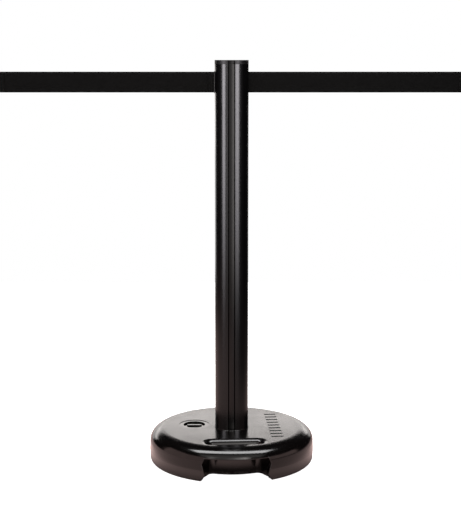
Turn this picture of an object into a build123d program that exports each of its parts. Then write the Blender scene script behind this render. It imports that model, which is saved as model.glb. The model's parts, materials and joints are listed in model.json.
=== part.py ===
from build123d import *
import os
from math import acos, atan2, cos, degrees, hypot, radians, sin, sqrt

# Retractable belt stanchion. Millimetres, +Z up. The origin is on the floor, on the post's axis.
# The carrying handle is at the front (-Y). The stanchion's own belt runs out to +X, and the belt
# of the next stanchion in the line comes in from -X and is docked in the -X slot of the post.

os.makedirs("parts", exist_ok=True)

# ---- Driving dimensions -------------------------------------------------------------------

HEIGHT = 1000.0

# Base: a hollow moulding, widest at the parting line
BASE_HEIGHT = 82.0
BASE_RADIUS = 207.0
BASE_FOOT_RADIUS = 205.2
BASE_TOP_RADIUS = 206.4
PARTING_Z = 29.8
SHOULDER_WIDTH = 37.0
SHOULDER_HEIGHT = 32.4
FOOT_ROUND = 8.0
BASE_WALL = 4.0
FOOT_RIM = 24.0
FOOT_RECESS = 2.0
HUB_RADIUS = 46.0
FILL_LEVEL = 38.0
FILL_GAP = 0.5

# Collar and socket that hold the foot of the post
SOCKET_Z = 52.0
SOCKET_CLEARANCE = 0.3
KEY_GAP = 0.4
KEY_TOP_Z = 82.8
COLLAR_HEIGHT = 1.2
COLLAR_RIM = 0.9
COLLAR_FLARE = 1.2

# Pinch-grip handle: a pocket in the top and a notch in the side
HANDLE_TURN = 3.6
POCKET_LENGTH = 130.0
POCKET_WIDTH = 24.0
POCKET_CENTRE = 130.5
POCKET_FLOOR_Z = 63.0
POCKET_LIP = 16.0
POCKET_WALL = 5.0
NOTCH_CEILING_Z = 58.0
NOTCH_BACK = 142.0
NOTCH_BACK_HALF = 60.0
NOTCH_MOUTH_HALF = 110.0
NOTCH_CORNER = 14.0
NOTCH_EDGE = 2.0
# Half widths and heights of the notch's outline, from the floor up
NOTCH_OUTLINE = [(86.5, -1.0), (75.5, 17.0), (83.0, 44.0), (77.0, 58.0)]

# Filler opening and its screw plug
FILLER_X = -95.0
FILLER_Y = 16.5
FILLER_LAND_RADIUS = 38.0
FILLER_LAND_DEPTH = 1.0
WELL_RADIUS = 27.5
WELL_DEPTH = 11.4
NECK_RADIUS = 17.2
NECK_WALL = 3.8
NECK_LENGTH = 16.0
PLUG_CLEARANCE = 0.6
PLUG_FLANGE = 3.0
PLUG_GRIP = (38.0, 8.0, 3.6)
O_RING_RADIUS = 21.0
O_RING_SECTION = 1.4
SEAL_GAP = 0.3

# Plain raised bars on the right of the base
BAR_COUNT = 9
BAR_SIZE = (30.0, 5.5)
BAR_HEIGHT = 1.2
BAR_ROW_START = (113.5, -85.0)
BAR_ROW_END = (100.0, 106.0)

# Post: an aluminium extrusion with four T-slots
POST_RADIUS = 42.1
POST_WALL = 2.8
POST_FOOT_Z = 60.0
CAP_THICKNESS = 10.0
SLOT_THROAT = 17.4
SLOT_CHAMBER = 24.0
SLOT_LIP_RADIUS = 38.4
SLOT_FLOOR_RADIUS = 33.4
SLOT_WALL = 2.0
LAND_WIDTH = 12.4
LAND_HEIGHT = 2.0
LAND_CROWN = 0.7
LAND_FLARE = 2.6
PORT_CENTRE = 35.2
PORT_RADIUS = 4.7
PORT_BORE = 2.2
THREAD_GAP = 0.05

# Webbing
BELT_WIDTH = 50.0
BELT_THICKNESS = 0.5
BELT_MID_Z = 947.0
BELT_REACH = 575.0
HEM_LENGTH = 18.0

# Belt-end slider: a T that slides into any slot
SLIDER_FLANGE = 2.0
SLIDER_FLANGE_WIDTH = 22.6
SLIDER_NECK = 4.6
SLIDER_NECK_WIDTH = 15.2
SLIDER_PIN_RADIUS = 1.0
SLIDER_SLIT = 2.2
SLIDER_EDGE = 0.5
SLIDER_END_WALL = 1.5
SLIDER_PLAY = 0.2
DOCK_GAP = 0.4
STOP_HEIGHT = 8.0

# Cassette that winds the belt up
CASSETTE_RADIUS = 29.5
CASSETTE_WALL = 1.6
CASSETTE_FLOOR_Z = 884.0
CASSETTE_FLOOR = 3.0
SPRING_ROOM_RADIUS = 27.0
SPRING_PLATE_Z = 914.0
SPRING_PLATE = 2.0
LID_Z = 979.0
LID_FLOOR = 3.0
LID_RIM = 2.0
LID_EARS = 2.0
EAR_RADIUS = 39.6
EAR_WIDTH = 11.0
SPOOL_HUB = 10.0
SPOOL_BORE = 6.0
SPOOL_FLANGE_RADIUS = 22.3
SPOOL_FLANGE = 1.6
SPOOL_SIDE_GAP = 0.5
ARBOR_RADIUS = 7.0
ARBOR_FOOT_Z = 888.5
ROLL_RADIUS = 18.7
SPINDLE_RADIUS = 4.0
BUSH_BORE = 4.05
BUSH_LENGTH = 8.0
SPRING_THICKNESS = 0.5
SPRING_HEIGHT = 22.0
SPRING_PITCH = 2.7
SPRING_HALF_TURNS = 14
GUIDE_X = 25.8
GUIDE_PIN_RADIUS = 1.5
GUIDE_GAP = 0.3
LID_SCREW_RING = 25.6
LID_SCREW_COLUMN = 2.7
LID_SCREW_RADIUS = 1.25

# Fasteners of the foot and the cap
TIE_BOLT_RADIUS = 5.9
TIE_RECESS_RADIUS = 33.0
TIE_RECESS_Z = 30.0
TIE_HEAD_FLATS = 19.0
TIE_HEAD = 7.5
TIE_WASHER = 3.0
TIE_WASHER_RADIUS = 28.0
TIE_BOLT_TOP_Z = 68.0
FOOT_PLATE_RADIUS = 40.2
FOOT_SCREW_RADIUS = PORT_BORE - THREAD_GAP
FOOT_SCREW_HEAD = 4.2
FOOT_SCREW_TOP_Z = 76.0
CSK_DEPTH = 2.4

CIRCLIP_GAP = 0.6
CIRCLIP_INNER = 3.4
CIRCLIP_OUTER = 6.6
CIRCLIP_THICKNESS = 0.7
CIRCLIP_GROOVE = 0.8
ANCHOR_X = 9.0
ANCHOR_GROOVE = 1.6
ANCHOR_RADIUS = 1.0

# ---- Values that follow from them ------------------------------------------------------------

CAP_Z = HEIGHT - CAP_THICKNESS
BELT_LOW_Z = BELT_MID_Z - BELT_WIDTH / 2
BELT_HIGH_Z = BELT_MID_Z + BELT_WIDTH / 2
SPOOL_LOW_Z = BELT_LOW_Z - SPOOL_SIDE_GAP - SPOOL_FLANGE
SPOOL_HIGH_Z = BELT_HIGH_Z + SPOOL_SIDE_GAP + SPOOL_FLANGE
WELL_FLOOR_Z = BASE_HEIGHT - WELL_DEPTH
GUIDE_Y = BELT_THICKNESS / 2 + GUIDE_GAP + GUIDE_PIN_RADIUS
DOCK_FACE = SLOT_FLOOR_RADIUS + LAND_HEIGHT + DOCK_GAP
SLIDER_LOW_Z = BELT_LOW_Z - SLIDER_END_WALL
SLIDER_HIGH_Z = BELT_HIGH_Z + SLIDER_END_WALL
SLOT_ANGLES = [0, 90, 180, 270]
DIAGONALS = [45, 135, 225, 315]
LID_SCREW_ANGLES = [90, 210, 330]
RECEIVING_SLOTS = [90, 180, 270]


def save(name, solids):
    """Write one node, made of one solid or of several separate ones."""
    shapes = solids if isinstance(solids, list) else [solids]
    pieces = [solid for shape in shapes for solid in shape.solids()]
    export_step(pieces[0] if len(pieces) == 1 else Compound(pieces), f"parts/{name}.step")


def rod(radius, low, high, x=0.0, y=0.0):
    """Vertical cylinder between two heights."""
    return Pos(x, y, low) * extrude(Circle(radius), high - low)


def tube(inner, outer, low, high, x=0.0, y=0.0):
    """Vertical tube between two heights."""
    return rod(outer, low, high, x, y) - rod(inner, low - 1, high + 1, x, y)


def block(x_range, y_range, z_range):
    """Box between two corners, given as ranges."""
    size = [high - low for low, high in (x_range, y_range, z_range)]
    centre = [(high + low) / 2 for low, high in (x_range, y_range, z_range)]
    return Pos(*centre) * Box(*size)


def on_circle(radius, angle):
    """Point on a circle round the post's axis."""
    return radius * cos(radians(angle)), radius * sin(radians(angle))


# ---- Base ----------------------------------------------------------------------------------


def base_body(inset, floor):
    """The base's outer body, or its inside when set in by the wall."""
    shoulder_z = BASE_HEIGHT - SHOULDER_HEIGHT
    flat_radius = BASE_TOP_RADIUS - SHOULDER_WIDTH
    side = Polyline(
        (0, floor),
        (BASE_FOOT_RADIUS - inset, floor),
        (BASE_RADIUS - inset, PARTING_Z),
        (BASE_TOP_RADIUS - inset, shoulder_z),
    )
    shoulder = EllipticalCenterArc(
        (flat_radius, shoulder_z), SHOULDER_WIDTH - inset, SHOULDER_HEIGHT - inset, arc_size=90
    )
    top = Polyline((flat_radius, BASE_HEIGHT - inset), (0, BASE_HEIGHT - inset), (0, floor))
    section = make_face(side + shoulder + top)
    foot_corner = section.vertices().group_by(Axis.Y)[0].sort_by(Axis.X)[-1]
    return revolve(Plane.XZ * fillet(foot_corner, FOOT_ROUND), Axis.Z)


def handle_place():
    return Rot(0, 0, HANDLE_TURN)


def pocket(grow, low):
    """The handle's pocket in the top, or a larger one round it."""
    outline = SlotOverall(POCKET_LENGTH + 2 * grow, POCKET_WIDTH + 2 * grow)
    return handle_place() * Pos(0, -POCKET_CENTRE, low) * extrude(outline, BASE_HEIGHT + 1 - low)


def notch(grow):
    """The handle's notch in the side, open at the floor, or a larger one round it."""
    back = NOTCH_BACK - grow
    half = NOTCH_BACK_HALF + grow
    mouth = NOTCH_MOUTH_HALF + grow
    front = BASE_RADIUS + 10
    end = -sqrt(back ** 2 - half ** 2)
    wall = ThreePointArc((-half, end), (0, -back), (half, end))
    sides = Polyline((half, end), (mouth, -front), (-mouth, -front), (-half, end))
    plan = make_face(wall + sides)
    plan = fillet(plan.vertices().sort_by(Axis.Y)[-2:], NOTCH_CORNER)
    ceiling = NOTCH_CEILING_Z + grow
    outline = [(half_width + grow, z + (grow if z > 0 else 0)) for half_width, z in NOTCH_OUTLINE]
    outline += [(-half_width, z) for half_width, z in reversed(outline)]
    upright = Plane.XZ * make_face(Polyline(*outline, close=True))
    deep = extrude(upright, front + 5)
    return handle_place() * (Pos(0, 0, -2) * extrude(plan, ceiling + 2) & deep)


def notch_rim(body):
    """Edges where the notch breaks through the base's side, without the foot and parting line."""
    rim = []
    for edge in body.edges():
        ends_and_middle = [edge @ 0, edge @ 0.5, edge @ 1]
        on_side = all(
            hypot(p.X, p.Y) > BASE_FOOT_RADIUS - FOOT_ROUND and p.Y < -NOTCH_BACK / 2
            for p in ends_and_middle
        )
        upright = abs((edge @ 0).Z - (edge @ 1).Z) > FOOT_ROUND
        along_ceiling = abs((edge @ 0.5).Z - NOTCH_CEILING_Z) < 0.1
        if on_side and (upright or along_ceiling):
            rim.append(edge)
    return rim


def filler_neck_solid():
    """Room that the filler's well and neck take up inside the base."""
    well = rod(WELL_RADIUS + BASE_WALL, WELL_FLOOR_Z - BASE_WALL, BASE_HEIGHT, FILLER_X, FILLER_Y)
    neck = rod(
        NECK_RADIUS + NECK_WALL, WELL_FLOOR_Z - NECK_LENGTH, WELL_FLOOR_Z, FILLER_X, FILLER_Y
    )
    return well + neck


def cavity(gap, level=BASE_HEIGHT):
    """The room inside the base, set in by a gap and filled up to a level."""
    lip_z = BASE_HEIGHT - POCKET_LIP - BASE_WALL
    room = base_body(BASE_WALL + gap, FOOT_RECESS + BASE_WALL + gap)
    room -= rod(HUB_RADIUS + gap, 0, BASE_HEIGHT)
    room -= pocket(POCKET_WALL + gap, POCKET_FLOOR_Z - POCKET_WALL - gap)
    room -= notch(BASE_WALL + gap)
    if level > lip_z:
        room -= pocket(POCKET_LIP - 2 + gap, lip_z)
        room -= filler_neck_solid()
    else:
        room -= rod(BASE_RADIUS, level, BASE_HEIGHT)
    return room


def collar():
    """Raised rim round the post with a hollow flare down to the base's top."""
    inner = POST_RADIUS + SOCKET_CLEARANCE
    rim = inner + COLLAR_RIM
    foot = rim + COLLAR_FLARE
    top = BASE_HEIGHT + COLLAR_HEIGHT
    flare = ThreePointArc(
        (rim, top), (rim + COLLAR_FLARE * 0.25, BASE_HEIGHT + COLLAR_HEIGHT * 0.28), (foot, BASE_HEIGHT)
    )
    sides = Polyline(
        (foot, BASE_HEIGHT), (foot, BASE_HEIGHT - 1), (inner, BASE_HEIGHT - 1), (inner, top), (rim, top)
    )
    return revolve(Plane.XZ * make_face(flare + sides), Axis.Z)


def socket_keys(grow=0.0):
    """Four ribs in the socket that enter the post's slots, so that the post can't turn."""
    inner = SLOT_LIP_RADIUS - KEY_GAP - grow
    outer = POST_RADIUS + SOCKET_CLEARANCE + 1
    half = SLOT_THROAT / 2 - KEY_GAP + grow
    key = block((inner, outer), (-half, half), (SOCKET_Z - 1, KEY_TOP_Z))
    return [Rot(0, 0, angle) * key for angle in SLOT_ANGLES]


def raised_bars():
    """Row of plain bars along a chord on the right of the base."""
    (x0, y0), (x1, y1) = BAR_ROW_START, BAR_ROW_END
    heading = degrees(atan2(y1 - y0, x1 - x0)) - 90
    bars = []
    for i in range(BAR_COUNT):
        share = i / (BAR_COUNT - 1)
        place = Pos(x0 + share * (x1 - x0), y0 + share * (y1 - y0), BASE_HEIGHT - 0.5)
        bar = extrude(SlotOverall(*BAR_SIZE), BAR_HEIGHT + 0.5)
        bar = fillet(bar.edges().group_by(Axis.Z)[-1], BAR_HEIGHT * 0.6)
        bars.append(place * Rot(0, 0, heading) * bar)
    return bars


def base_shell():
    body = base_body(0, 0) - pocket(0, POCKET_FLOOR_Z)
    centre = handle_place() * Pos(0, -POCKET_CENTRE, BASE_HEIGHT) * Vertex(0, 0, 0)
    lip = [
        edge for edge in body.edges()
        if abs(edge.center().Z - BASE_HEIGHT) < 0.01
        and (edge.center() - centre.center()).length < POCKET_LENGTH / 2 + 5
    ]
    body = fillet(lip, POCKET_LIP)
    body -= tube(HUB_RADIUS + 6, BASE_FOOT_RADIUS - FOOT_RIM, -1, FOOT_RECESS)
    body -= notch(0)
    body = fillet(notch_rim(body), NOTCH_EDGE)
    body -= rod(FILLER_LAND_RADIUS, BASE_HEIGHT - FILLER_LAND_DEPTH, BASE_HEIGHT + 1, FILLER_X, FILLER_Y)
    body -= rod(WELL_RADIUS, WELL_FLOOR_Z, BASE_HEIGHT, FILLER_X, FILLER_Y)
    body += collar()
    body += raised_bars()
    body -= cavity(0)
    body -= rod(NECK_RADIUS, WELL_FLOOR_Z - NECK_LENGTH - 1, BASE_HEIGHT, FILLER_X, FILLER_Y)
    body -= rod(POST_RADIUS + SOCKET_CLEARANCE, SOCKET_Z, BASE_HEIGHT + COLLAR_HEIGHT + 1)
    body += socket_keys()
    body -= rod(TIE_RECESS_RADIUS, -1, TIE_RECESS_Z)
    body -= rod(TIE_BOLT_RADIUS + 0.6, 0, SOCKET_Z + 1)
    return body


# ---- Tie bolt and foot plate, which hold the post to the base -----------------------------------

def foot_plate():
    plate = rod(FOOT_PLATE_RADIUS, SOCKET_Z, POST_FOOT_Z) - rod(TIE_BOLT_RADIUS + 0.1, 0, HEIGHT)
    plate -= socket_keys(KEY_GAP)
    for angle in DIAGONALS:
        x, y = on_circle(PORT_CENTRE, angle)
        plate -= rod(FOOT_SCREW_RADIUS + 0.3, 0, HEIGHT, x, y)
        sink = Cone(FOOT_SCREW_HEAD + 0.1, FOOT_SCREW_RADIUS + 0.3, CSK_DEPTH)
        plate -= Pos(x, y, SOCKET_Z + CSK_DEPTH / 2) * sink
    return plate


def foot_plate_screws():
    screws = []
    for angle in DIAGONALS:
        x, y = on_circle(PORT_CENTRE, angle)
        head = Pos(x, y, SOCKET_Z + CSK_DEPTH / 2) * Cone(FOOT_SCREW_HEAD, FOOT_SCREW_RADIUS, CSK_DEPTH)
        screws.append(head + rod(FOOT_SCREW_RADIUS, SOCKET_Z, FOOT_SCREW_TOP_Z, x, y))
    return screws


def tie_bolt():
    underside = TIE_RECESS_Z - TIE_WASHER
    head = Pos(0, 0, underside - TIE_HEAD) * extrude(
        RegularPolygon(TIE_HEAD_FLATS / 2, 6, major_radius=False), TIE_HEAD
    )
    return head + rod(TIE_BOLT_RADIUS, underside - 1, TIE_BOLT_TOP_Z)


def tie_bolt_washer():
    return tube(TIE_BOLT_RADIUS + 0.3, TIE_WASHER_RADIUS, TIE_RECESS_Z - TIE_WASHER, TIE_RECESS_Z)


# ---- Filler plug -----------------------------------------------------------------------------


def filler_plug():
    underside = WELL_FLOOR_Z + 2 * SEAL_GAP + 2 * O_RING_SECTION
    top = underside + PLUG_FLANGE
    flange = rod(WELL_RADIUS - 1, underside, top, FILLER_X, FILLER_Y)
    flange = fillet(flange.edges().group_by(Axis.Z)[-1], 1.0)
    stem_radius = NECK_RADIUS - PLUG_CLEARANCE
    stem = rod(stem_radius, WELL_FLOOR_Z - NECK_LENGTH + 2, underside + 1, FILLER_X, FILLER_Y)
    hollow = rod(stem_radius - 3, WELL_FLOOR_Z - NECK_LENGTH, underside - 1, FILLER_X, FILLER_Y)
    length, width, rise = PLUG_GRIP
    grip = Pos(FILLER_X, FILLER_Y, top - 1) * extrude(SlotOverall(length, width), rise + 1)
    grip = fillet(grip.edges().group_by(Axis.Z)[-1], 1.2)
    return flange + stem + grip - hollow


def plug_o_ring():
    height = WELL_FLOOR_Z + SEAL_GAP + O_RING_SECTION
    return Pos(FILLER_X, FILLER_Y, height) * Torus(O_RING_RADIUS, O_RING_SECTION)


# ---- Post ------------------------------------------------------------------------------------


def slot_land(low, high):
    """Crowned rib with sloping sides along the middle of a slot's floor, on the +X side."""
    root, top, half = SLOT_FLOOR_RADIUS - 1, SLOT_FLOOR_RADIUS + LAND_HEIGHT, LAND_WIDTH / 2
    edge, foot = top - LAND_CROWN, half + LAND_FLARE
    crown = ThreePointArc((edge, -half), (top, 0), (edge, half))
    side = [(edge, half), (SLOT_FLOOR_RADIUS, foot), (root, foot)]
    sides = Polyline(*side, *[(x, -y) for x, y in reversed(side)])
    return Pos(0, 0, low) * extrude(make_face(crown + sides), high - low, dir=(0, 0, 1))


def slot_space(low, high):
    """The room inside one T-slot, on the +X side."""
    half = SLOT_THROAT / 2
    throat = block((SLOT_LIP_RADIUS - 0.5, POST_RADIUS + 1), (-half, half), (low, high))
    chamber = block(
        (SLOT_FLOOR_RADIUS, SLOT_LIP_RADIUS), (-SLOT_CHAMBER / 2, SLOT_CHAMBER / 2), (low, high)
    )
    return throat + chamber - slot_land(low, high)


def belt_window():
    """Opening through the floor of the +X slot for the stanchion's own belt."""
    return block((SLOT_FLOOR_RADIUS - 6, POST_RADIUS - 2), (-3, 3), (BELT_LOW_Z - 3, BELT_HIGH_Z + 3))


def post_extrusion():
    low, high = POST_FOOT_Z, CAP_Z
    length = high - low
    section = Circle(POST_RADIUS) - Circle(POST_RADIUS - POST_WALL)
    channel_inner = SLOT_FLOOR_RADIUS - SLOT_WALL
    channel_half = SLOT_CHAMBER / 2 + SLOT_WALL
    bore = Circle(POST_RADIUS - 0.5)
    for angle in SLOT_ANGLES:
        channel = Rectangle(POST_RADIUS - channel_inner, 2 * channel_half)
        channel = Pos((channel_inner + POST_RADIUS) / 2, 0) * channel
        section += (Rot(0, 0, angle) * channel) & bore
    for angle in DIAGONALS:
        section += Pos(*on_circle(PORT_CENTRE, angle)) * Circle(PORT_RADIUS)
    for angle in DIAGONALS:
        section -= Pos(*on_circle(PORT_CENTRE, angle)) * Circle(PORT_BORE)
    post = Pos(0, 0, low) * extrude(section, length)
    for angle in SLOT_ANGLES:
        post -= Rot(0, 0, angle) * slot_space(low - 1, high + 1)
    return post - belt_window()


def slot_stops():
    """Small blocks behind the slot's lips that a docked slider rests on, two in each slot."""
    high = SLIDER_LOW_Z - GUIDE_GAP
    inner = SLOT_THROAT / 2 + 0.3
    outer = SLOT_CHAMBER / 2 - 0.05
    stops = []
    for angle in RECEIVING_SLOTS:
        for y_range in ((inner, outer), (-outer, -inner)):
            depth = (SLOT_FLOOR_RADIUS + 0.05, SLOT_LIP_RADIUS - 0.05)
            stop = block(depth, y_range, (high - STOP_HEIGHT, high))
            stops.append(Rot(0, 0, angle) * stop)
    return stops


def top_cap():
    cap = rod(POST_RADIUS, CAP_Z, HEIGHT)
    cap = fillet(cap.edges().group_by(Axis.Z)[-1], 1.0)
    cap -= lid_ears(0.1, CAP_Z - 1)
    for angle in SLOT_ANGLES:
        cap -= Rot(0, 0, angle) * slot_space(CAP_Z - 1, HEIGHT + 1)
    for angle in DIAGONALS:
        x, y = on_circle(PORT_CENTRE, angle)
        cap -= rod(PORT_BORE + 0.2, CAP_Z - 1, HEIGHT + 1, x, y)
        cap -= Pos(x, y, HEIGHT - CSK_DEPTH / 2) * Cone(PORT_BORE + 0.2, FOOT_SCREW_HEAD + 0.2, CSK_DEPTH)
    return cap


def cap_screws():
    screws = []
    for angle in DIAGONALS:
        x, y = on_circle(PORT_CENTRE, angle)
        top = HEIGHT - 0.2
        head = Pos(x, y, top - CSK_DEPTH / 2) * Cone(FOOT_SCREW_RADIUS, FOOT_SCREW_HEAD, CSK_DEPTH)
        screw = head + rod(FOOT_SCREW_RADIUS, CAP_Z - 14, top - 1, x, y)
        drive = Pos(x, y, top - 1.2) * extrude(RegularPolygon(1.5, 6), 2)
        screws.append(screw - drive)
    return screws


# ---- Cassette --------------------------------------------------------------------------------


def lid_ears(grow, low):
    """Ring and four ears that hang the cassette under the cap."""
    high = CAP_Z + LID_EARS + grow
    ears = rod(CASSETTE_RADIUS + grow, low, high)
    for angle in DIAGONALS:
        ear = block((0, EAR_RADIUS + grow), (-EAR_WIDTH / 2 - grow, EAR_WIDTH / 2 + grow), (low, high))
        ears += Rot(0, 0, angle) * ear
    return ears & rod(EAR_RADIUS + grow, low, high)


def lid_screw_bores(radius, low, high):
    return [rod(radius, low, high, *on_circle(LID_SCREW_RING, angle)) for angle in LID_SCREW_ANGLES]


def cassette_shell():
    shell = rod(CASSETTE_RADIUS, CASSETTE_FLOOR_Z, LID_Z)
    inner = CASSETTE_RADIUS - CASSETTE_WALL
    shell -= rod(SPRING_ROOM_RADIUS, CASSETTE_FLOOR_Z + CASSETTE_FLOOR, LID_Z + 1)
    shell -= rod(inner, SPRING_PLATE_Z, LID_Z + 1)
    shell += [column & rod(inner + 0.5, 0, HEIGHT) for column in
              lid_screw_bores(LID_SCREW_COLUMN, SPRING_PLATE_Z + SPRING_PLATE, LID_Z)]
    shell -= lid_screw_bores(LID_SCREW_RADIUS, LID_Z - 12, LID_Z + 1)
    shell -= block((GUIDE_X, CASSETTE_RADIUS + 1), (-2.5, 2.5), (BELT_LOW_Z - 1.5, BELT_HIGH_Z + 1.5))
    return shell - rod(SPINDLE_RADIUS + 0.02, CASSETTE_FLOOR_Z + 1, HEIGHT)


def cassette_lid():
    lid = rod(CASSETTE_RADIUS, LID_Z, CAP_Z)
    lid += lid_ears(0, CAP_Z)
    lid -= rod(CASSETTE_RADIUS - LID_RIM, LID_Z + LID_FLOOR, HEIGHT)
    lid += rod(SPINDLE_RADIUS + 4, LID_Z, LID_Z + LID_FLOOR + 3)
    lid -= rod(SPINDLE_RADIUS + 0.02, LID_Z - 1, LID_Z + LID_FLOOR + 1)
    lid -= lid_screw_bores(LID_SCREW_RADIUS + 0.2, LID_Z - 1, LID_Z + LID_FLOOR + 1)
    lid -= guide_pins(0.02)
    for angle in DIAGONALS:
        lid -= rod(PORT_BORE + 0.2, CAP_Z - 1, HEIGHT, *on_circle(PORT_CENTRE, angle))
    for angle in SLOT_ANGLES:
        lid -= Rot(0, 0, angle) * slot_space(CAP_Z - 1, HEIGHT)
    return lid


def cassette_lid_screws():
    screws = []
    for angle in LID_SCREW_ANGLES:
        x, y = on_circle(LID_SCREW_RING, angle)
        low = LID_Z + LID_FLOOR
        head = rod(1.7, low, low + 1.4, x, y)
        shank = rod(LID_SCREW_RADIUS - THREAD_GAP, LID_Z - 9, low + 0.5, x, y)
        drive = Pos(x, y, low + 0.6) * extrude(RegularPolygon(0.9, 6), 2)
        screws.append(head + shank - drive)
    return screws


def guide_pins(grow=0.0):
    """Two smooth pins that the belt runs out between."""
    low, high = SPRING_PLATE_Z + 1, LID_Z + 1.5
    return [rod(GUIDE_PIN_RADIUS + grow, low, high, GUIDE_X, side * GUIDE_Y) for side in (1, -1)]


def spring_plate():
    radius = CASSETTE_RADIUS - CASSETTE_WALL - 0.1
    plate = tube(ARBOR_RADIUS + 0.6, radius, SPRING_PLATE_Z, SPRING_PLATE_Z + SPRING_PLATE)
    return plate - guide_pins(0.02)


def spindle():
    pin = rod(SPINDLE_RADIUS, CASSETTE_FLOOR_Z + 1, LID_Z + LID_FLOOR + 1)
    groove_z = SPOOL_HIGH_Z + CIRCLIP_GAP
    return pin - tube(CIRCLIP_INNER, SPINDLE_RADIUS + 1, groove_z, groove_z + CIRCLIP_GROOVE)


def spindle_circlip():
    low = SPOOL_HIGH_Z + CIRCLIP_GAP + 0.05
    ring = tube(CIRCLIP_INNER + 0.05, CIRCLIP_OUTER, low, low + CIRCLIP_THICKNESS)
    return ring - block((0, CIRCLIP_OUTER + 1), (-1.8, 1.8), (low - 1, low + 2))


def felt_drag_washer():
    return tube(CIRCLIP_OUTER + 1.4, 17.0, SPOOL_HIGH_Z + GUIDE_GAP, LID_Z)


def spool():
    """Hub, two flanges and the arbor that the spring turns."""
    hub = rod(SPOOL_HUB, SPOOL_LOW_Z, SPOOL_HIGH_Z)
    hub += rod(SPOOL_FLANGE_RADIUS, SPOOL_LOW_Z, SPOOL_LOW_Z + SPOOL_FLANGE)
    hub += rod(SPOOL_FLANGE_RADIUS, SPOOL_HIGH_Z - SPOOL_FLANGE, SPOOL_HIGH_Z)
    hub += rod(ARBOR_RADIUS, ARBOR_FOOT_Z, SPOOL_LOW_Z + 1)
    hub -= rod(ANCHOR_GROOVE, BELT_LOW_Z, BELT_HIGH_Z, ANCHOR_X)
    return hub - rod(SPOOL_BORE, 0, HEIGHT)


def belt_anchor_rod():
    """Rod that traps the belt's inner end in the hub's groove."""
    return rod(ANCHOR_RADIUS, BELT_LOW_Z + 0.1, BELT_HIGH_Z - 0.1, ANCHOR_X - 0.3)


def spool_bushes():
    outer = SPOOL_BORE - 0.02
    spans = [(ARBOR_FOOT_Z, ARBOR_FOOT_Z + BUSH_LENGTH), (SPOOL_HIGH_Z - BUSH_LENGTH, SPOOL_HIGH_Z)]
    return [tube(BUSH_BORE, outer, low, high) for low, high in spans]


def spiral_side(offset):
    """Half-turn arcs along one face of the spring strip."""
    arcs = []
    for i in range(SPRING_HALF_TURNS):
        near = ARBOR_RADIUS + 0.2 + offset + i * SPRING_PITCH / 2
        far = near + SPRING_PITCH / 2
        side = 1 if i % 2 == 0 else -1
        middle = (side * (near - far) / 2, side * (near + far) / 2)
        arcs.append(ThreePointArc((side * near, 0), middle, (-side * far, 0)))
    return arcs


def power_spring():
    """Flat spiral spring, its outer end at the cassette's wall and its inner end at the arbor."""
    inner, outer = spiral_side(0), spiral_side(SPRING_THICKNESS)
    ends = [Line(inner[0] @ 0, outer[0] @ 0), Line(inner[-1] @ 1, outer[-1] @ 1)]
    outline = Wire(inner + outer + ends)
    low = (CASSETTE_FLOOR_Z + CASSETTE_FLOOR + SPRING_PLATE_Z - SPRING_HEIGHT) / 2
    return Pos(0, 0, low) * extrude(Face(outline), SPRING_HEIGHT, dir=(0, 0, 1))


# ---- Belts and sliders -------------------------------------------------------------------------


def webbing(path):
    """Upright strip of webbing along a plan path."""
    strip = trace(path, line_width=BELT_THICKNESS)
    return Pos(0, 0, BELT_LOW_Z) * extrude(strip, BELT_WIDTH)


def belt_end_loop(face_x, heading):
    """Sewn end of a belt: a hem outside the slider and a loop round its pin."""
    pin_x = face_x - heading * (SLIDER_FLANGE + SLIDER_NECK / 2)
    hem_start = face_x - heading * (SLIDER_FLANGE + SLIDER_NECK + 0.2)
    hem_range = sorted((hem_start, hem_start - heading * HEM_LENGTH))
    hem = block(hem_range, (-BELT_THICKNESS, BELT_THICKNESS), (BELT_LOW_Z, BELT_HIGH_Z))
    leg = block(
        sorted((pin_x - heading * (SLIDER_PIN_RADIUS + 0.3), hem_start)),
        (-BELT_THICKNESS, BELT_THICKNESS), (BELT_LOW_Z, BELT_HIGH_Z),
    )
    inner = SLIDER_PIN_RADIUS + 0.1
    ring = tube(inner, inner + BELT_THICKNESS, BELT_LOW_Z, BELT_HIGH_Z, pin_x)
    return hem + leg + ring


def slider(face_x, heading):
    """T-shaped moulding on a belt's end: the flange slides in a slot's chamber, the neck in its throat."""
    neck_start = face_x - heading * SLIDER_FLANGE
    neck_end = neck_start - heading * SLIDER_NECK
    pin_x = (neck_start + neck_end) / 2
    height = (SLIDER_LOW_Z, SLIDER_HIGH_Z)
    half_flange = SLIDER_FLANGE_WIDTH / 2
    half_neck = SLIDER_NECK_WIDTH / 2
    flange = block(sorted((face_x, neck_start)), (-half_flange, half_flange), height)
    flange = chamfer(flange.edges().filter_by(Axis.Z), SLIDER_EDGE)
    body = flange + block(sorted((neck_start, neck_end)), (-half_neck, half_neck), height)
    inside = (BELT_LOW_Z - SLIDER_PLAY, BELT_HIGH_Z + SLIDER_PLAY)
    slit = block(sorted((pin_x, neck_end - heading)), (-SLIDER_SLIT / 2, SLIDER_SLIT / 2), inside)
    return body - slit - rod(SLIDER_PIN_RADIUS + 0.9, *inside, pin_x) - slider_pin(face_x, heading)


def slider_pin(face_x, heading):
    """Pin that the belt's loop goes round, held in the slider's end walls."""
    pin_x = face_x - heading * (SLIDER_FLANGE + SLIDER_NECK / 2)
    return rod(SLIDER_PIN_RADIUS, SLIDER_LOW_Z, SLIDER_HIGH_Z, pin_x)


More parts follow.
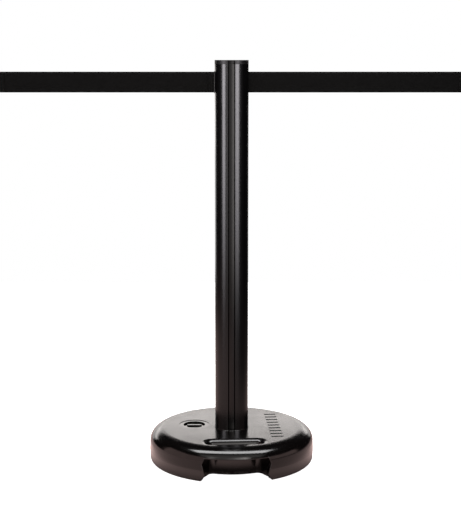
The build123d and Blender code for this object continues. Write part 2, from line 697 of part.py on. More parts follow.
def own_belt():
    """Drawn-out belt: off the roll, round the guide pin and out to its slider."""
    leave_radius = ROLL_RADIUS + GUIDE_GAP + BELT_THICKNESS / 2
    bend_radius = GUIDE_PIN_RADIUS + GUIDE_GAP + BELT_THICKNESS / 2
    guide = Vector(GUIDE_X, bend_radius)
    lean = degrees(atan2(guide.Y, guide.X)) + degrees(acos((leave_radius + bend_radius) / guide.length))
    normal = Vector(cos(radians(lean)), sin(radians(lean)))
    leave = normal * leave_radius
    meet = guide - normal * bend_radius
    straight = Vector(GUIDE_X, 0)
    middle = guide - (normal + Vector(0, 1)).normalized() * bend_radius
    end = Vector(BELT_REACH - SLIDER_FLANGE - SLIDER_NECK - HEM_LENGTH / 2, 0)
    path = [Line(leave, meet), ThreePointArc(meet, middle, straight), Line(straight, end)]
    return webbing(path) + belt_end_loop(BELT_REACH, 1)


def next_belt():
    """The next stanchion's belt, with a sewn loop at each end."""
    start = Vector(-DOCK_FACE - SLIDER_FLANGE - SLIDER_NECK - HEM_LENGTH / 2, 0)
    end = Vector(-BELT_REACH + SLIDER_FLANGE + SLIDER_NECK + HEM_LENGTH / 2, 0)
    return webbing([Line(start, end)]) + belt_end_loop(-DOCK_FACE, 1) + belt_end_loop(-BELT_REACH, -1)


# ---- Write every node ------------------------------------------------------------------------

save("base_shell", base_shell())
save("sand_fill", cavity(FILL_GAP, FILL_LEVEL))
save("filler_plug", filler_plug())
save("plug_o_ring", plug_o_ring())
save("foot_plate", foot_plate())
save("foot_plate_screws", foot_plate_screws())
save("tie_bolt", tie_bolt())
save("tie_bolt_washer", tie_bolt_washer())
save("post_extrusion", post_extrusion())
save("slot_stops", slot_stops())
save("top_cap", top_cap())
save("cap_screws", cap_screws())
save("cassette_shell", cassette_shell())
save("cassette_lid", cassette_lid())
save("cassette_lid_screws", cassette_lid_screws())
save("spring_plate", spring_plate())
save("power_spring", power_spring())
save("guide_pins", guide_pins())
save("spindle", spindle())
save("spindle_circlip", spindle_circlip())
save("felt_drag_washer", felt_drag_washer())
save("spool", spool())
save("spool_bushes", spool_bushes())
save("belt_anchor_rod", belt_anchor_rod())
save("belt_roll", tube(SPOOL_HUB + 0.05, ROLL_RADIUS, BELT_LOW_Z, BELT_HIGH_Z))
save("own_belt", own_belt())
save("belt_end_slider", slider(BELT_REACH, 1))
save("belt_end_pin", slider_pin(BELT_REACH, 1))
save("next_belt", next_belt())
save("docked_slider", slider(-DOCK_FACE, 1))
save("docked_slider_pin", slider_pin(-DOCK_FACE, 1))
save("far_slider", slider(-BELT_REACH, -1))
save("far_slider_pin", slider_pin(-BELT_REACH, -1))
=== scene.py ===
import json
from math import acos, atan2, cos, degrees, hypot, pi, radians, sin

import bpy
from mathutils import Euler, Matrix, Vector


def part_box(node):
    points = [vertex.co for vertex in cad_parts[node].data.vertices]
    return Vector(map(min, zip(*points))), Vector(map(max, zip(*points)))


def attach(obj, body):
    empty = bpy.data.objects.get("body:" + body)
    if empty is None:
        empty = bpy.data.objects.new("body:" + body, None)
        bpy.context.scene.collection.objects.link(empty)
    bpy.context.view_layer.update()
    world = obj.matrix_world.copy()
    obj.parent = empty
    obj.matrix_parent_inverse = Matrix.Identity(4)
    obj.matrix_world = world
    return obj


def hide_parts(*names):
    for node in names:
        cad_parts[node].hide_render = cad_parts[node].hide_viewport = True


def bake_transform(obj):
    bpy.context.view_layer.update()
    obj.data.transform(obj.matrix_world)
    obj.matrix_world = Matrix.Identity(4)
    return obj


# Looks of the retractable belt stanchion. Metres, +Z up, origin on the floor at the post's axis.
# The handle side of the base faces -Y, the stanchion's own belt runs to +X, the next one's comes from -X.

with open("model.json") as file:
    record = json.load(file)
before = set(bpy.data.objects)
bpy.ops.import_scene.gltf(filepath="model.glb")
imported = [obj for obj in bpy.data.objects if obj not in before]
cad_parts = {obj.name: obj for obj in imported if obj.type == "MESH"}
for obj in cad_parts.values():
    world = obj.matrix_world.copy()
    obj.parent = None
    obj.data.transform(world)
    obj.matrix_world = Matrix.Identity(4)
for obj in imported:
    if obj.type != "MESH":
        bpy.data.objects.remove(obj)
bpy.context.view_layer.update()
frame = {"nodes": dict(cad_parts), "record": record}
nodes = frame["nodes"]

# ---- Places read from the frame ---------------------------------------------------------------

BELT_LOW, BELT_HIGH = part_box("next_belt")
BELT_MID_Z = (BELT_LOW.z + BELT_HIGH.z) / 2
BELT_WIDTH = BELT_HIGH.z - BELT_LOW.z
ROLL_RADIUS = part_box("belt_roll")[1].x
BASE_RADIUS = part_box("base_shell")[1].x

# ---- Node trees ---------------------------------------------------------------------------------


class Paint:
    """One material's node tree, with short ways to add and join nodes."""

    def __init__(self, name, **settings):
        self.material = bpy.data.materials.new(name)
        self.material.use_nodes = True
        self.tree = self.material.node_tree
        self.shader = self.tree.nodes["Principled BSDF"]
        self.place = self.add("TexCoord").outputs["Object"]
        self.set(self.shader, settings)

    def set(self, node, inputs):
        for key, value in inputs.items():
            socket = node.inputs[key]
            if isinstance(value, bpy.types.NodeSocket):
                self.tree.links.new(value, socket)
            elif isinstance(value, tuple) and len(value) == 3 and socket.type == "RGBA":
                socket.default_value = (*value, 1)
            else:
                socket.default_value = value

    def add(self, kind, inputs=None, **options):
        node = self.tree.nodes.new("ShaderNode" + kind)
        for key, value in options.items():
            setattr(node, key, value)
        self.set(node, inputs or {})
        return node

    def math(self, operation, a, b=0.0):
        return self.add("Math", {0: a, 1: b}, operation=operation).outputs[0]

    def stretched(self, scale):
        """Coordinates scaled by a different number along each axis."""
        return self.add("Mapping", {"Vector": self.place, "Scale": scale}).outputs[0]

    def noise(self, scale, detail=3.0, roughness=0.55, place=None):
        inputs = {"Vector": place or self.place, "Scale": scale, "Detail": detail, "Roughness": roughness}
        return self.add("TexNoise", inputs).outputs[0]

    def ramp(self, value, low, high, to_low=0.0, to_high=1.0):
        """Maps a value from one range to another, smoothly and clamped."""
        inputs = {"Value": value, "From Min": low, "From Max": high, "To Min": to_low, "To Max": to_high}
        return self.add("MapRange", inputs, interpolation_type="SMOOTHSTEP").outputs[0]

    def blend(self, share, a, b):
        """Colour a where share is 0 and b where it is 1."""
        node = self.add("Mix", data_type="RGBA")
        self.tree.links.new(share, node.inputs[0])
        for socket, value in ((node.inputs[6], a), (node.inputs[7], b)):
            if isinstance(value, bpy.types.NodeSocket):
                self.tree.links.new(value, socket)
            else:
                socket.default_value = (*value, 1)
        return node.outputs[2]

    def bump(self, height, depth, strength=1.0, under=None):
        inputs = {"Height": height, "Distance": depth, "Strength": strength}
        if under is not None:
            inputs["Normal"] = under
        return self.add("Bump", inputs).outputs[0]

    def finish(self, **inputs):
        self.set(self.shader, {key.replace("_", " "): value for key, value in inputs.items()})
        return self.material


# ---- Camera -----------------------------------------------------------------------------------

CAMERA_PLACE = (-0.0027, -3.024, 0.999)
# How far it looks down, in radians, and its focal length as a multiple of the picture's height
CAMERA_DOWN = 0.1574
FOCAL_PER_HEIGHT = 2.4067
SENSOR = 36.0


def make_camera():
    data = bpy.data.cameras.new("camera")
    data.sensor_width = SENSOR
    data.lens = SENSOR * FOCAL_PER_HEIGHT
    camera = bpy.data.objects.new("camera", data)
    bpy.context.scene.collection.objects.link(camera)
    camera.location = CAMERA_PLACE
    camera.rotation_euler = Euler((pi / 2 - CAMERA_DOWN, 0, 0))
    bpy.context.scene.camera = camera


# ---- Light and floor ----------------------------------------------------------------------------

VIOLET = (0.99, 0.95, 1.0)
WARM = (1.0, 0.95, 0.92)
POOL_TINT = (1.0, 0.72, 0.68)
POOL_GLOW = 1.45

# Azimuths are in degrees, 0 straight in front and positive to the right. Lengths are in metres.
# Upright softboxes, which draw the bright lines on the post: azimuth, width, radiance
UPRIGHT_BOXES = [("right", 40.3, 0.66, 17.0), ("left", -52.8, 0.68, 18.0)]
UPRIGHT_DISTANCE = 2.0
# Low edge, high edge and share of the radiance of each of their bands, dimmer towards the floor
UPRIGHT_BANDS = [(0.85, 2.2, 1.0), (0.55, 0.85, 0.82), (0.33, 0.55, 0.55), (0.12, 0.33, 0.28)]
LIT_BY_UPRIGHTS = ("post_extrusion", "top_cap", "cap_screws", "docked_slider")
# Strips in front, dim in the middle and brighter to the right: azimuth, radiance
FRONT_FILL = [(-30, 1.9), (-20, 0.8), (-10, 0.9), (0, 1.4), (10, 3.0), (20, 5.6)]
FRONT_FILL_DISTANCE = 2.6
FRONT_FILL_HEIGHT = 1.2
FRONT_FILL_SIZE = (0.46, 2.3)
# Fills that stand on the floor and light the base's side alone: azimuth, height of the top
LOW_FILL = [(-85, 1.5), (-50, 1.4), (45, 1.0), (80, 0.9)]
LOW_FILL_DISTANCE = 2.3
LOW_FILL_WIDTH = 1.5
LOW_FILL_RADIANCE = 0.95
# Panels behind, which the flat top of the base mirrors: azimuth, height of the middle, size, radiance
BACK_DISTANCE = 2.5
BACK_PANELS = [
    ("back_panel_high", 187, 0.95, (3.8, 0.18), 2.6),
    ("back_panel", 187, 0.73, (3.8, 0.26), 3.4),
    ("back_panel_low", 183, 0.30, (3.8, 0.60), 1.3),
]
# Share of white that the object mirrors where there is no softbox
WORLD_DIM = 0.012


def softbox(name, azimuth, distance, height, size, radiance, aim_height=None, tint=(1, 1, 1)):
    """Area light that the camera doesn't see, aimed at the post's axis at its own height or another."""
    light = bpy.data.lights.new(name, "AREA")
    light.shape = "RECTANGLE"
    light.size, light.size_y = size
    light.energy = radiance * pi * size[0] * size[1]
    light.color = tint
    lamp = bpy.data.objects.new(name, light)
    bpy.context.scene.collection.objects.link(lamp)
    turn = radians(azimuth)
    lamp.location = (distance * sin(turn), -distance * cos(turn), height)
    aim = Vector((0, 0, height if aim_height is None else aim_height))
    lamp.rotation_euler = (aim - lamp.location).to_track_quat("-Z", "Y").to_euler()
    lamp.visible_camera = False
    return lamp


def graded_softbox(name, azimuth, width, bands, tint):
    """Upright softbox made of bands, one above the other: (low, high, radiance) for each."""
    lamps = []
    for i, (low, high, radiance) in enumerate(bands):
        middle, size = (low + high) / 2, (width, high - low)
        lamps.append(softbox(f"{name}_{i}", azimuth, UPRIGHT_DISTANCE, middle, size, radiance, tint=tint))
    return lamps


def lights_only(lamps, label, node_names):
    """Makes lamps light the named nodes and nothing else."""
    lit = bpy.data.collections.new(label)
    for name in node_names:
        lit.objects.link(nodes[name])
    for lamp in lamps:
        lamp.light_linking.receiver_collection = lit


def make_lights():
    """Upright softboxes for the post, fills in front and low down, panels behind, one softbox overhead."""
    upright = []
    for side, azimuth, width, radiance in UPRIGHT_BOXES:
        bands = [(low, high, radiance * share) for low, high, share in UPRIGHT_BANDS]
        upright += graded_softbox(side, azimuth, width, bands, VIOLET)
    upright.append(softbox(
        "left_rear_panel", azimuth=-142, distance=2.6, height=0.40, size=(1.3, 0.8), radiance=1.5,
    ))
    lights_only(upright, "lit_by_upright_softboxes", LIT_BY_UPRIGHTS)
    for azimuth, radiance in FRONT_FILL:
        name = f"front_fill_{azimuth}"
        softbox(name, azimuth, FRONT_FILL_DISTANCE, FRONT_FILL_HEIGHT, FRONT_FILL_SIZE, radiance, tint=WARM)
    base_fill = []
    for azimuth, top in LOW_FILL:
        name, size = f"low_fill_{azimuth}", (LOW_FILL_WIDTH, top)
        lamp = softbox(name, azimuth, LOW_FILL_DISTANCE, top / 2, size, LOW_FILL_RADIANCE, tint=POOL_TINT)
        base_fill.append(lamp)
    base_fill.append(softbox(
        "high_fill", azimuth=0, distance=1.7, height=2.2, size=(4.0, 1.1), radiance=0.75,
        aim_height=0.1, tint=WARM,
    ))
    lights_only(base_fill, "lit_by_low_fill", ["base_shell"])
    for name, azimuth, height, size, radiance in BACK_PANELS:
        softbox(name, azimuth, BACK_DISTANCE, height, size, radiance, tint=WARM)
    overhead = softbox(
        "overhead_softbox", azimuth=0, distance=0.20, height=2.5, size=(3.1, 0.88), radiance=11.5,
    )
    overhead.rotation_euler = (0, 0, 0)


def make_world():
    """White behind the object, and dim where the object mirrors it, so that the softboxes shape it."""
    world = bpy.data.worlds.new("studio")
    bpy.context.scene.world = world
    world.use_nodes = True
    tree = world.node_tree
    tree.nodes.clear()
    path = tree.nodes.new("ShaderNodeLightPath")
    mix = tree.nodes.new("ShaderNodeMixShader")
    out = tree.nodes.new("ShaderNodeOutputWorld")
    tree.links.new(path.outputs["Is Camera Ray"], mix.inputs[0])
    for i, strength in ((1, WORLD_DIM), (2, 1.0)):
        shade = tree.nodes.new("ShaderNodeBackground")
        shade.inputs["Color"].default_value = (1, 1, 1, 1)
        shade.inputs["Strength"].default_value = strength
        tree.links.new(shade.outputs[0], mix.inputs[i])
    tree.links.new(mix.outputs[0], out.inputs["Surface"])


FLOOR_HALF = 2.5
GLOW_DROP = 0.002
# How the pool of light changes with distance from the post: from, to, level before, level after
# The low level under the base's edge is a painted shadow of the base on the pool of light.
POOL_SHADOW_UNDER_BASE = (BASE_RADIUS - 0.02, BASE_RADIUS + 0.05, 0.08, 1.0)
POOL_NEAR = (BASE_RADIUS + 0.068, BASE_RADIUS + 0.108, 1.0, 0.62)
POOL_FAR = (1.0, 2.1, 1.0, 0.15)
# The same across it, along X
POOL_TILT = (-0.45, 0.45, 1.12, 0.78)
POOL_RIGHT = (0.35, 0.95, 1.0, 0.12)


def floor_piece(name, z):
    mesh = bpy.data.meshes.new(name)
    corners = [(-1, -1), (1, -1), (1, 1), (-1, 1)]
    mesh.from_pydata([(FLOOR_HALF * x, FLOOR_HALF * y, z) for x, y in corners], [], [(0, 1, 2, 3)])
    floor = bpy.data.objects.new(name, mesh)
    bpy.context.scene.collection.objects.link(floor)
    return floor


def make_floor():
    """Evenly white floor for the eye, and a glowing sheet that only reflections and bounced light see: a
    painted pool of light round the base, with a painted shadow under its edge, that its gloss mirrors.
    """
    seen = floor_piece("floor", 0.0)
    white = Paint("floor_white")
    seen.data.materials.append(white.finish(
        Base_Color=(0.8, 0.8, 0.8), Roughness=0.9, Emission_Color=(1, 1, 1), Emission_Strength=1.0,
    ))
    for ray in ("glossy", "diffuse", "transmission", "shadow"):
        setattr(seen, "visible_" + ray, False)
    mirrored = floor_piece("floor_glow", -GLOW_DROP)
    pool = Paint("floor_pool")
    split = pool.add("SeparateXYZ", {"Vector": pool.place}).outputs
    away = pool.add("VectorMath", {0: pool.place}, operation="LENGTH").outputs["Value"]
    # Painted shadow of the base round its edge, times the painted pool's fall further out.
    shadow_and_fade_near_base = pool.math("MULTIPLY", pool.ramp(away, *POOL_SHADOW_UNDER_BASE), pool.ramp(away, *POOL_NEAR))
    side = pool.math("MULTIPLY", pool.ramp(split["X"], *POOL_TILT), pool.ramp(split["X"], *POOL_RIGHT))
    glow = pool.math("MULTIPLY", shadow_and_fade_near_base, pool.math("MULTIPLY", pool.ramp(away, *POOL_FAR), side))
    mirrored.data.materials.append(pool.finish(
        Base_Color=(0.02, 0.02, 0.02), Roughness=1.0, Specular_IOR_Level=0.0,
        Emission_Color=POOL_TINT, Emission_Strength=pool.math("MULTIPLY", glow, POOL_GLOW),
    ))
    mirrored.visible_camera = False


# ---- Materials ------------------------------------------------------------------------------------

# Range that most of a noise's values lie in
MIDDLE = (0.3, 0.7)
BASE_GRAIN = 0.00004
SCUFF_HEIGHT = 0.012
# Heights between which the base's flat top takes over from its glossy shoulder
TOP_FINISH = (0.0795, 0.0816)
YARN = 0.0011
YARN_ALONG = YARN * 1.4


def moulded_plastic(name, dark, light, base_rough):
    """Moulded plastic: fine grain, slow changes of gloss, hairlines, a scuffed foot, a duller worn top."""
    paint = Paint(name)
    patches = paint.noise(9.0, 4.0)
    fine = paint.noise(1400.0, 2.0)
    scratches = paint.noise(60.0, 5.0, 0.7, paint.stretched((1.0, 22.0, 9.0)))
    hairlines = paint.ramp(scratches, 0.66, 0.70)
    height = paint.add("SeparateXYZ", {"Vector": paint.place}).outputs["Z"]
    near_floor = paint.ramp(height, 0.0, SCUFF_HEIGHT, 1.0, 0.0)
    rubbed = paint.math("MULTIPLY", near_floor, paint.ramp(paint.noise(70.0, 5.0, 0.7), 0.42, 0.62))
    colour = paint.blend(paint.ramp(patches, *MIDDLE), dark, light)
    colour = paint.blend(paint.math("MULTIPLY", rubbed, 0.6), colour, (0.045, 0.041, 0.038))
    rough = paint.ramp(patches, *MIDDLE, base_rough - 0.02, base_rough + 0.03)
    rough = paint.math("ADD", rough, paint.math("MULTIPLY", hairlines, 0.10))
    rough = paint.math("ADD", rough, paint.math("MULTIPLY", rubbed, 0.35))
    rough = paint.math("ADD", rough, paint.ramp(height, *TOP_FINISH, 0.0, 0.09))
    normal = paint.bump(fine, BASE_GRAIN)
    normal = paint.bump(hairlines, 0.00001, 0.4, normal)
    return paint.finish(Base_Color=colour, Roughness=rough, Normal=normal)


def coated_extrusion(name):
    """Black powder-coated aluminium, with faint die lines along the post."""
    paint = Paint(name)
    die_lines = paint.noise(900.0, 3.0, 0.6, paint.stretched((1.0, 1.0, 0.004)))
    orange_peel = paint.noise(420.0, 2.0)
    marks = paint.ramp(paint.noise(45.0, 6.0, 0.75, paint.stretched((1.0, 1.0, 0.12))), 0.62, 0.72)
    shade = paint.ramp(die_lines, 0.35, 0.65)
    colour = paint.blend(shade, (0.0003, 0.0003, 0.0003), (0.0007, 0.0006, 0.0007))
    rough = paint.ramp(die_lines, *MIDDLE, 0.20, 0.25)
    rough = paint.math("ADD", rough, paint.math("MULTIPLY", marks, 0.08))
    normal = paint.bump(die_lines, 0.000012)
    normal = paint.bump(orange_peel, 0.00001, 0.6, normal)
    return paint.finish(Base_Color=colour, Roughness=rough, Normal=normal)


def matte_plastic(name, dark, light, rough_low=0.42, rough_high=0.6):
    """Textured plastic of the cap, the sliders and the cassette."""
    paint = Paint(name)
    grain = paint.noise(2200.0, 2.0)
    patches = paint.noise(60.0, 4.0)
    colour = paint.blend(paint.ramp(patches, *MIDDLE), dark, light)
    rough = paint.ramp(grain, *MIDDLE, rough_low, rough_high)
    return paint.finish(Base_Color=colour, Roughness=rough, Normal=paint.bump(grain, 0.00006))


def metal(name, colour, tint, rough, grain_scale=(1.0, 1.0, 0.05)):
    """Bare or plated metal with drawn lines and slight tarnish."""
    paint = Paint(name, Metallic=1.0)
    lines = paint.noise(500.0, 3.0, 0.6, paint.stretched(grain_scale))
    tarnish = paint.ramp(paint.noise(120.0, 5.0, 0.65), 0.45, 0.75)
    shade = paint.blend(tarnish, colour, tint)
    gloss = paint.ramp(lines, *MIDDLE, rough - 0.06, rough + 0.08)
    return paint.finish(Base_Color=shade, Roughness=gloss, Normal=paint.bump(lines, 0.00001))


def grainy(name, dark, light, rough, scale, depth, sheen=0.0):
    """Felt, rubber or sand: grains of one size with a mottled colour."""
    paint = Paint(name)
    cells = paint.add("TexVoronoi", {"Vector": paint.place, "Scale": scale}).outputs["Distance"]
    mottle = paint.noise(scale * 0.35, 4.0, 0.7)
    colour = paint.blend(paint.ramp(mottle, *MIDDLE), dark, light)
    if sheen:
        paint.set(paint.shader, {"Sheen Weight": sheen, "Sheen Roughness": 0.5})
    rough_value = paint.ramp(mottle, *MIDDLE, rough - 0.05, rough + 0.04)
    return paint.finish(Base_Color=colour, Roughness=rough_value, Normal=paint.bump(cells, depth))


def woven(name, dark, light):
    """Black polyester webbing: warp and weft yarns, one over the other, with worn fibres and painted shade
    in the weave's hollows.
    """
    paint = Paint(name)
    split = paint.add("SeparateXYZ", {"Vector": paint.place})
    warp = paint.math("SINE", paint.math("MULTIPLY", split.outputs["Z"], 2 * pi / YARN))
    weft = paint.math("SINE", paint.math("MULTIPLY", split.outputs["X"], 2 * pi / YARN_ALONG))
    over = paint.math("MULTIPLY", warp, weft)
    rib = paint.math("ABSOLUTE", warp)
    height = paint.math("ADD", paint.math("MULTIPLY", over, 0.5), paint.math("MULTIPLY", rib, 0.5))
    fibres = paint.noise(5200.0, 2.0, 0.6, paint.stretched((0.25, 1.0, 1.0)))
    patches = paint.noise(28.0, 4.0)
    # Colour: painted shade, darker in the weave's hollows and lighter on the yarns' crowns, times random
    # patches of tone.
    shade = paint.math("MULTIPLY", paint.ramp(height, -0.5, 1.0), paint.ramp(patches, 0.2, 0.8, 0.75, 1.0))
    colour = paint.blend(shade, dark, light)
    normal = paint.bump(height, 0.00012)
    normal = paint.bump(fibres, 0.00002, 0.6, normal)
    paint.set(paint.shader, {"Sheen Weight": 0.015, "Sheen Roughness": 0.4, "Specular IOR Level": 0.08})
    rough = paint.ramp(fibres, *MIDDLE, 0.62, 0.8)
    return paint.finish(Base_Color=colour, Roughness=rough, Normal=normal)


def paint_gloss(material, level):
    """Sets how strongly a material mirrors at right angles; 0.5 is what plastic usually has."""
    material.node_tree.nodes["Principled BSDF"].inputs["Specular IOR Level"].default_value = level


def paint_nodes():
    """Gives every CAD node the material of what it is made of."""
    base = moulded_plastic("base_plastic", (0.0007, 0.0005, 0.0005), (0.0014, 0.0011, 0.0011), 0.13)
    paint_gloss(base, 0.42)
    fitting = matte_plastic("black_plastic", (0.010, 0.0095, 0.009), (0.016, 0.015, 0.0145))
    cap = matte_plastic("cap_plastic", (0.0007, 0.0006, 0.0006), (0.0016, 0.0014, 0.0014), 0.36, 0.46)
    paint_gloss(cap, 0.2)
    extrusion = coated_extrusion("black_extrusion")
    paint_gloss(extrusion, 0.32)
    steel = metal("zinc_steel", (0.50, 0.51, 0.52), (0.38, 0.37, 0.34), 0.32)
    blued = metal("spring_steel", (0.24, 0.27, 0.34), (0.15, 0.14, 0.15), 0.28, (0.08, 0.08, 1.0))
    bronze = metal("bronze", (0.60, 0.43, 0.22), (0.36, 0.24, 0.12), 0.35)
    felt = grainy("felt", (0.26, 0.25, 0.23), (0.40, 0.38, 0.35), 0.92, 1500.0, 0.0003, 0.4)
    rubber = grainy("rubber", (0.016, 0.016, 0.016), (0.028, 0.027, 0.026), 0.7, 1800.0, 0.00003)
    sand = grainy("sand", (0.42, 0.33, 0.21), (0.66, 0.55, 0.39), 0.93, 900.0, 0.0006)
    by_slot = {
        "base_plastic": base, "black_plastic": fitting, "black_extrusion": extrusion, "zinc_steel": steel,
        "spring_steel": blued, "bronze": bronze, "felt": felt, "rubber": rubber, "sand": sand,
    }
    by_node = {"top_cap": cap, "filler_plug": base}
    for part in frame["record"]["subparts"]:
        material = by_node.get(part["node"]) or by_slot.get(part["material_slot"])
        if material is not None:
            mesh = nodes[part["node"]].data
            mesh.materials.clear()
            mesh.materials.append(material)


# ---- Webbing ----------------------------------------------------------------------------------------

THICKNESS = 0.0005
SELVEDGE_WIDTH = 0.0022
SELVEDGE_THICKNESS = 0.00085
SELVEDGE_TIP = 0.05
SELVEDGE_STEPS = 8
MIDDLE_STEPS = 24
STEP = 0.004
# Longer than any belt, for a strip with no rings between its path's corners
ONE_FACET = 2.0
BELT_GAP = 0.0003
GUIDE_BEND_STEPS = 8

# Belt on the roll: pressed thinner, and thinnest at its edges
HUB_RADIUS = 0.01005
WOUND_THICKNESS = 0.00047
WOUND_EDGE = 0.4
WOUND_STEPS = 10
WOUND_PITCH = 0.00048
STEPS_PER_TURN = 36

# Sewn ends: two layers either side of the belt's plane, and a loop round the slider's pin
LAYER = 0.00045
LOOP_GAP = 0.0001
LOOP_THROAT = 0.0022
LOOP_HALF_TURN = 150
LOOP_STEPS = 12
HEM_REACH = 0.0165
FOLD = 0.001
STITCH_ROWS = (0.0045, 0.0085, 0.0125, 0.0155)
STITCH_PITCH = 0.0032
STITCH_LENGTH = 0.0026
THREAD = 0.00016
THREAD_SIDES = 6
# Along one stitch: share of its length from the middle, share of the thread's radius
STITCH_SHAPE = ((-0.5, 0.35), (-0.25, 1.0), (0.25, 1.0), (0.5, 0.35))


def new_piece(name, points, faces, material):
    mesh = bpy.data.meshes.new(name)
    mesh.from_pydata(points, [], faces)
    mesh.materials.append(material)
    mesh.shade_smooth()
    piece = bpy.data.objects.new(name, mesh)
    bpy.context.scene.collection.objects.link(piece)
    return piece


def spaced(path, step):
    """Points along a plan path, about a step apart and with every corner kept."""
    out = [Vector(path[0])]
    for start, end in zip(path, path[1:]):
        start, end = Vector(start), Vector(end)
        count = max(1, round((end - start).length / step))
        out += [start.lerp(end, i / count) for i in range(1, count + 1)]
    return out


def belt_section():
    """(height, half thickness) across the belt: flat in the middle, a rounded thicker cord at each edge."""
    half = BELT_WIDTH / 2
    cord = SELVEDGE_WIDTH / 2
    selvedge = []
    for i in range(SELVEDGE_STEPS + 1):
        angle = pi * i / SELVEDGE_STEPS
        thick = max(sin(angle), SELVEDGE_TIP) * SELVEDGE_THICKNESS / 2
        selvedge.append((-half + cord - cord * cos(angle), thick))
    inner = half - SELVEDGE_WIDTH
    middle = [(-inner + 2 * inner * i / MIDDLE_STEPS, THICKNESS / 2) for i in range(MIDDLE_STEPS + 1)]
    return selvedge + middle + [(-z, thick) for z, thick in reversed(selvedge)]


def wound_section():
    """(height, half thickness) across the belt where it is wound tight, with its cords pressed flat."""
    half = BELT_WIDTH / 2
    section = []
    for i in range(WOUND_STEPS + 1):
        share = WOUND_EDGE if i in (0, WOUND_STEPS) else 1
        section.append((-half + BELT_WIDTH * i / WOUND_STEPS, WOUND_THICKNESS / 2 * share))
    return section


def webbing(name, path, material, step=STEP, section=None):
    """Strip of belt along a plan path of (x, y) points."""
    section = section or belt_section()
    track = spaced(path, step)
    rings = []
    for i, point in enumerate(track):
        before, after = track[max(i - 1, 0)], track[min(i + 1, len(track) - 1)]
        ahead = (after - before).normalized()
        normal = Vector((-ahead.y, ahead.x))
        ring = []
        for side in (1, -1):
            for z, thick in section if side > 0 else reversed(section):
                place = point + normal * (side * thick)
                ring.append((place.x, place.y, BELT_MID_Z + z))
        rings.append(ring)
    size = len(rings[0])
    points = [p for ring in rings for p in ring]
    faces = []
    for i in range(len(rings) - 1):
        for j in range(size):
            k = (j + 1) % size
            faces.append((i * size + j, (i + 1) * size + j, (i + 1) * size + k, i * size + k))
    faces.append(tuple(range(size)))
    faces.append(tuple(reversed(range((len(rings) - 1) * size, len(rings) * size))))
    return new_piece(name, points, faces, material)


def arc(centre, radius, start, end, count):
    """Plan points along an arc, angles in degrees."""
    return [
        (centre[0] + radius * cos(radians(start + (end - start) * i / count)),
         centre[1] + radius * sin(radians(start + (end - start) * i / count)))
        for i in range(count + 1)
    ]


def upright_pin(node):
    """X of an upright pin, or of a pair side by side, and its radius."""
    low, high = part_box(node)
    return (low.x + high.x) / 2, (high.x - low.x) / 2


def loop_round(node, heading):
    """End of a plan path that runs towards heading: round a slider's pin, and back along itself as a hem."""
    x, radius = upright_pin(node)
    bend = radius + LOOP_GAP + THICKNESS / 2
    hem, throat = x - heading * HEM_REACH, x - heading * LOOP_THROAT
    middle = 0 if heading > 0 else 180
    sweep = LOOP_HALF_TURN * heading
    turn = arc((x, 0), bend, middle + sweep, middle - sweep, LOOP_STEPS)
    return [(hem - heading * FOLD, 0), (hem, LAYER), (throat, LAYER), *turn, (throat, -LAYER), (hem, -LAYER)]


def leaving_the_roll():
    """Radius and angle at which the belt leaves the roll for the guide pin, and the bend's radius there."""
    guide_x, pin_radius = upright_pin("guide_pins")
    bend = pin_radius + BELT_GAP + THICKNESS / 2
    leave = ROLL_RADIUS + BELT_GAP + THICKNESS / 2
    return leave, atan2(bend, guide_x) + acos((leave + bend) / hypot(guide_x, bend)), bend


def path_off_the_roll():
    """Start of the own belt's path: off the roll and round the guide pin."""
    leave, lean, bend = leaving_the_roll()
    guide_x, _ = upright_pin("guide_pins")
    turn = arc((guide_x, bend), bend, degrees(lean) + 180, 270, GUIDE_BEND_STEPS)
    return [(leave * cos(lean), leave * sin(lean)), *turn]


def wound_path():
    """Spiral from the spool's hub out to where the belt leaves the roll."""
    inner, outer = HUB_RADIUS + WOUND_THICKNESS / 2, ROLL_RADIUS - WOUND_THICKNESS / 2
    turns = int((outer - inner) / WOUND_PITCH)
    _, lean, _ = leaving_the_roll()
    count = turns * STEPS_PER_TURN
    points = []
    for i in range(count + 1):
        radius = inner + (outer - inner) * i / count
        angle = lean + 2 * pi * (count - i) / STEPS_PER_TURN
        points.append((radius * cos(angle), radius * sin(angle)))
    return points


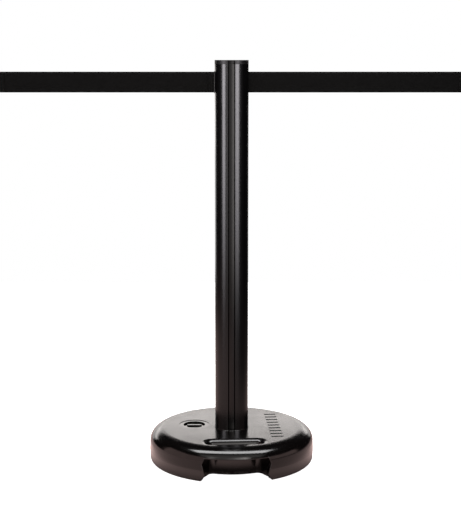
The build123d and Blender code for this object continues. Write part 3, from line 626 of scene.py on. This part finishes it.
def stitches(name, pin_node, heading, material, body):
    """Rows of lockstitch across a hem, on both of its faces."""
    x, _ = upright_pin(pin_node)
    points, faces = [], []
    half = BELT_WIDTH / 2 - SELVEDGE_WIDTH
    count = int(2 * half / STITCH_PITCH)
    for row in STITCH_ROWS:
        for side in (1, -1):
            for i in range(count):
                z = BELT_MID_Z - half + (i + 0.5) * STITCH_PITCH
                centre = Vector((x - heading * row, side * (LAYER + THICKNESS / 2), z))
                first = len(points)
                for share, thick in STITCH_SHAPE:
                    for k in range(THREAD_SIDES):
                        angle = k * pi / (THREAD_SIDES / 2)
                        out = THREAD * thick * Vector((cos(angle), sin(angle), 0))
                        points.append(centre + out + Vector((0, 0, share * STITCH_LENGTH)))
                for j in range(len(STITCH_SHAPE) - 1):
                    low, high = first + THREAD_SIDES * j, first + THREAD_SIDES * (j + 1)
                    for k in range(THREAD_SIDES):
                        beside = (k + 1) % THREAD_SIDES
                        faces.append((low + k, low + beside, high + beside, high + k))
    piece = new_piece(name, points, faces, material)
    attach(piece, body)


def make_belts():
    cloth = woven("webbing", (0.0015, 0.0015, 0.0015), (0.0050, 0.0050, 0.0051))
    thread = grainy("thread", (0.003, 0.003, 0.003), (0.006, 0.006, 0.006), 0.6, 3000.0, 0.00002)
    far_start = loop_round("far_slider_pin", -1)[::-1]
    left_path = far_start + loop_round("docked_slider_pin", 1)
    left = webbing("next_belt_webbing", left_path, cloth)
    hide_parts("next_belt")
    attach(left, "next_belt_end")
    right_path = path_off_the_roll() + loop_round("belt_end_pin", 1)
    # One long facet from the guide pins to the hem, so that the belt can't bunch up when it is wound in
    right = webbing("own_belt_webbing", right_path, cloth, step=ONE_FACET)
    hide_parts("own_belt")
    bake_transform(right)
    stitches("own_belt_stitches", "belt_end_pin", 1, thread, "belt_end")
    stitches("docked_end_stitches", "docked_slider_pin", 1, thread, "next_belt_end")
    stitches("far_end_stitches", "far_slider_pin", -1, thread, "next_belt_end")
    roll_path = wound_path()
    roll = webbing("wound_webbing", roll_path, cloth, section=wound_section())
    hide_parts("belt_roll")
    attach(roll, "spool")


# ---- Make it ------------------------------------------------------------------------------------------

bpy.context.scene.view_settings.view_transform = "Standard"
make_camera()
make_world()
make_lights()
make_floor()
paint_nodes()
make_belts()
